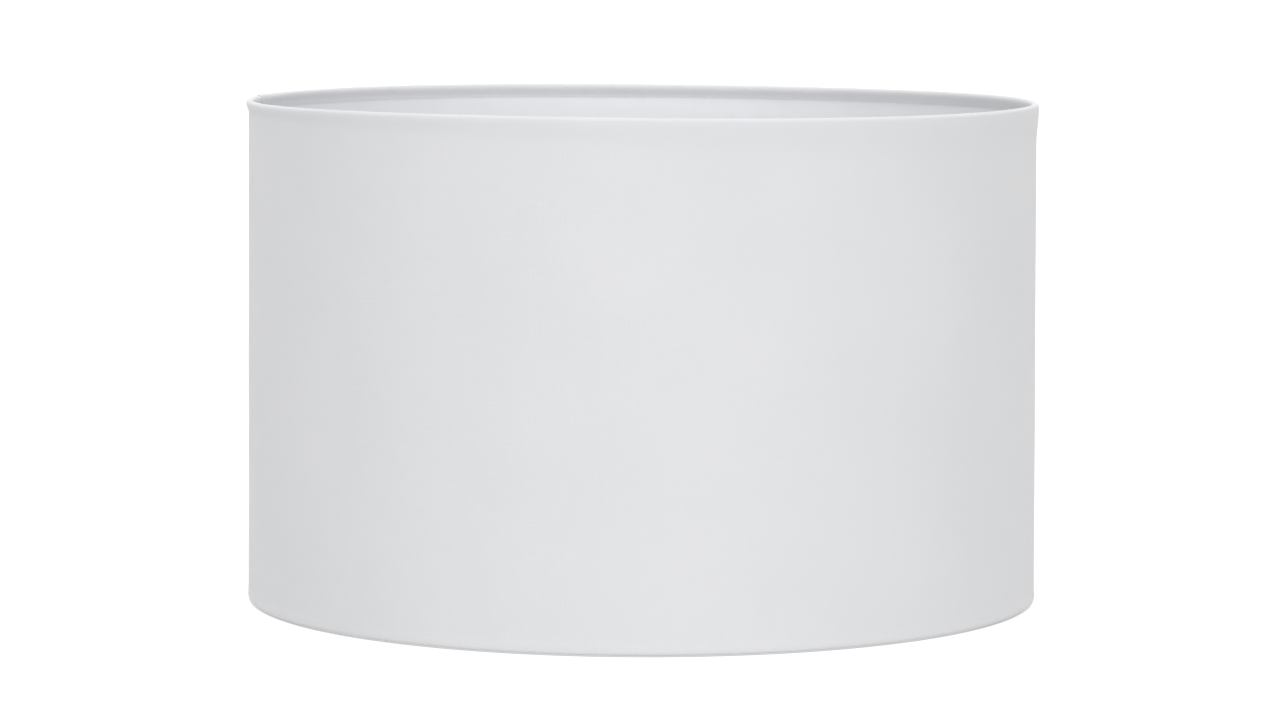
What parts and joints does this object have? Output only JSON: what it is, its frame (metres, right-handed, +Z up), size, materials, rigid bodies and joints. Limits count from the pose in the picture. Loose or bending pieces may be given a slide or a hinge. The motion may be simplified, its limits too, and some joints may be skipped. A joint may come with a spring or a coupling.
{
  "type": "drum lamp shade",
  "caption": "Straight drum lamp shade: cloth laminated to a plastic liner and rolled over two wire rings, with a recessed fitter on spider arms and a lift-out reducer ring.",
  "frame": {"origin": "on the surface that the shade stands on, under the centre of its bottom rim", "axes": "+Z up along the shade's axis, from the rim with the spider towards the open rim; -Y is the front; the seam is on the -X side, just behind the left edge"},
  "size_m": [0.4018, 0.4018, 0.254],
  "materials": {
    "cloth": "matt white plain-weave cotton",
    "liner_sheet": "satin white plastic sheet",
    "tape": "clear double-sided adhesive tape",
    "enamelled_wire": "white powder-coated steel wire",
    "enamelled_sheet": "white powder-coated pressed steel",
    "reducer_plastic": "white moulded plastic"
  },
  "bodies": {
    "shade": {"cloth_cover": "cloth", "liner": "liner_sheet", "seam_tape": "tape", "top_ring": "enamelled_wire", "top_ring_tape": "tape", "bottom_ring": "enamelled_wire", "bottom_ring_tape": "tape", "spider_arm_rear": "enamelled_wire", "spider_arm_left": "enamelled_wire", "spider_arm_right": "enamelled_wire", "fitter_ring": "enamelled_sheet"},
    "reducer": {"reducer_ring": "reducer_plastic"}
  },
  "joints": [
    {"name": "reducer_lift", "type": "slide", "parent": "shade", "child": "reducer", "axis": [0, 0, 1], "range_m": [0, 0.26]}
  ]
}
